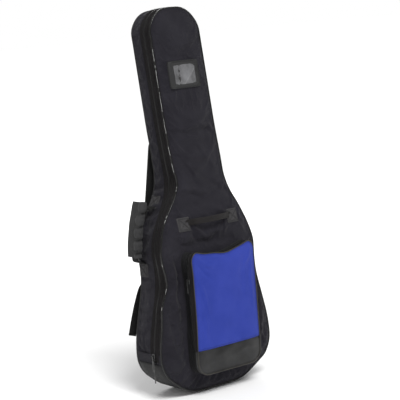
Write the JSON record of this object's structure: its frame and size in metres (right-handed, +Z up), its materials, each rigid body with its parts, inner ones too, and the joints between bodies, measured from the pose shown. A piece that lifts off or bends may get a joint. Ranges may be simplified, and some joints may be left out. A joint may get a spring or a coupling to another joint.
{
  "type": "padded gig bag",
  "caption": "Upright padded guitar gig bag with a fold-down zipped lid, gusseted front pocket, tag holder, carry handles and shoulder straps.",
  "frame": {"origin": "centre of the flat base that the bag stands on", "axes": "+Z up along the bag towards the head, -Y out of the front (pocket side), +X to the right of someone facing the front"},
  "size_m": [0.3936, 0.2191, 1.0502],
  "materials": {
    "nylon": "matt black woven nylon, slight sheen",
    "foam": "closed-cell foam",
    "lining": "smooth taffeta lining",
    "piping": "glossy PVC piping",
    "zip_tape": "woven zip tape, brownish black",
    "zip_coil": "nylon coil",
    "vinyl": "grained black vinyl, soft gloss",
    "scuff_vinyl": "grained charcoal vinyl",
    "tag_vinyl": "charcoal vinyl, satin",
    "clear_window": "clear PVC sheet, glossy",
    "pocket_blue": "royal blue woven polyester",
    "grey_web": "charcoal webbing, boxed stitching",
    "webbing": "black ribbed webbing",
    "grip_wrap": "charcoal vinyl wrap, soft",
    "strap_mesh": "padded black nylon",
    "buckle": "moulded black acetal",
    "nickel": "nickel-plated zinc",
    "toe_rubber": "soft black rubber"
  },
  "bodies": {
    "shell": {"back_panel_fabric": "nylon", "back_panel_foam": "foam", "zip_tail": "zip_tape", "back_panel_lining": "lining", "back_piping": "piping", "gusset_fabric": "nylon", "gusset_lining": "lining", "gusset_foam_left": "foam", "gusset_foam_right": "foam", "gusset_foam_head": "foam", "gusset_foam_toe": "foam", "scuff_patch": "scuff_vinyl", "toe_front_fabric": "nylon", "toe_front_foam": "foam", "toe_front_lining": "lining", "toe_piping": "piping", "zip_tape_shell": "zip_tape", "zip_coil_shell": "zip_coil", "pocket_toe_panel": "vinyl", "pocket_toe_gusset": "nylon", "pocket_piping_lower": "piping", "side_handle_patch_upper": "grey_web", "side_handle_patch_lower": "grey_web", "strap_yoke_patch": "webbing", "strap_left_tab": "webbing", "strap_right_tab": "webbing", "neck_rest": "foam", "neck_strap": "webbing", "toe_pad": "toe_rubber"},
    "lid": {"lid_fabric": "nylon", "lid_foam": "foam", "lid_lining": "lining", "lid_piping": "piping", "lid_edge_strip": "nylon", "zip_tape_lid": "zip_tape", "zip_coil_lid": "zip_coil", "pocket_gusset": "nylon", "pocket_zip": "zip_coil", "tag_frame": "tag_vinyl", "tag_window": "clear_window", "front_handle_patch_left": "grey_web", "front_handle_patch_right": "grey_web"},
    "pocket_flap": {"pocket_panel": "pocket_blue", "pocket_rim_strip": "nylon", "pocket_piping_upper": "piping"},
    "front_handle": {"front_handle_grip": "webbing"},
    "side_handle": {"side_handle_webbing": "webbing", "side_handle_wrap": "grip_wrap"},
    "upper_slider": {"main_slider_upper": "nickel"},
    "lower_slider": {"main_slider_lower": "nickel"},
    "upper_pull": {"main_pull_upper": "nickel"},
    "lower_pull": {"main_pull_lower": "nickel"},
    "pocket_runner": {"pocket_slider": "nickel"},
    "pocket_tab": {"pocket_pull": "nickel"},
    "left_strap": {"strap_left_pad": "strap_mesh", "strap_left_webbing": "webbing", "strap_left_buckle": "buckle"},
    "right_strap": {"strap_right_pad": "strap_mesh", "strap_right_webbing": "webbing", "strap_right_buckle": "buckle"}
  },
  "joints": [
    {"name": "lid_fold", "type": "hinge", "parent": "shell", "child": "lid", "pos_m": [0, -0.1055, 0.129], "axis": [1, 0, 0], "range_deg": [0, 90]},
    {"name": "pocket_flap_fold", "type": "hinge", "parent": "lid", "child": "pocket_flap", "pos_m": [0, -0.1055, 0.129], "axis": [1, 0, 0], "range_deg": [0, 90]},
    {"name": "upper_slider_travel", "type": "hinge", "parent": "shell", "child": "upper_slider", "pos_m": [0.18793, -0.02755, 0.11193], "axis": [0, 1, 0], "range_deg": [0, 8]},
    {"name": "lower_slider_travel", "type": "hinge", "parent": "shell", "child": "lower_slider", "pos_m": [0.18793, -0.02755, 0.11193], "axis": [0, 1, 0], "range_deg": [0, 8]},
    {"name": "upper_pull_swing", "type": "hinge", "parent": "upper_slider", "child": "upper_pull", "pos_m": [-0.19851, -0.02495, 0.126], "axis": [0, 1, 0], "range_deg": [0, 150]},
    {"name": "lower_pull_swing", "type": "hinge", "parent": "lower_slider", "child": "lower_pull", "pos_m": [-0.19844, -0.03015, 0.112], "axis": [0, 1, 0], "range_deg": [0, 150]},
    {"name": "pocket_slider_travel", "type": "slide", "parent": "lid", "child": "pocket_runner", "axis": [0, 0, 1], "range_m": [-0.08, 0.035]},
    {"name": "pocket_pull_swing", "type": "hinge", "parent": "pocket_runner", "child": "pocket_tab", "pos_m": [-0.1133, -0.0929, 0.322], "axis": [0, 1, 0], "range_deg": [0, 150]},
    {"name": "front_handle_swing", "type": "hinge", "parent": "lid", "child": "front_handle", "pos_m": [0, -0.052, 0.47], "axis": [1, 0, 0], "range_deg": [-30, 30]},
    {"name": "side_handle_swing", "type": "hinge", "parent": "shell", "child": "side_handle", "pos_m": [-0.124, 0.034, 0.508], "axis": [0.3184, 0, 0.948], "range_deg": [-15, 15]},
    {"name": "left_strap_swing", "type": "hinge", "parent": "shell", "child": "left_strap", "pos_m": [-0.042, 0.068, 0.712], "axis": [0.1788, 0.0177, 0.9837], "range_deg": [-12, 12]},
    {"name": "right_strap_swing", "type": "hinge", "parent": "shell", "child": "right_strap", "pos_m": [0.042, 0.068, 0.712], "axis": [-0.1788, 0.0177, 0.9837], "range_deg": [-12, 12]}
  ],
  "couplings": [
    {"joint": "lower_slider_travel", "follows": "upper_slider_travel", "ratio": 1}
  ]
}
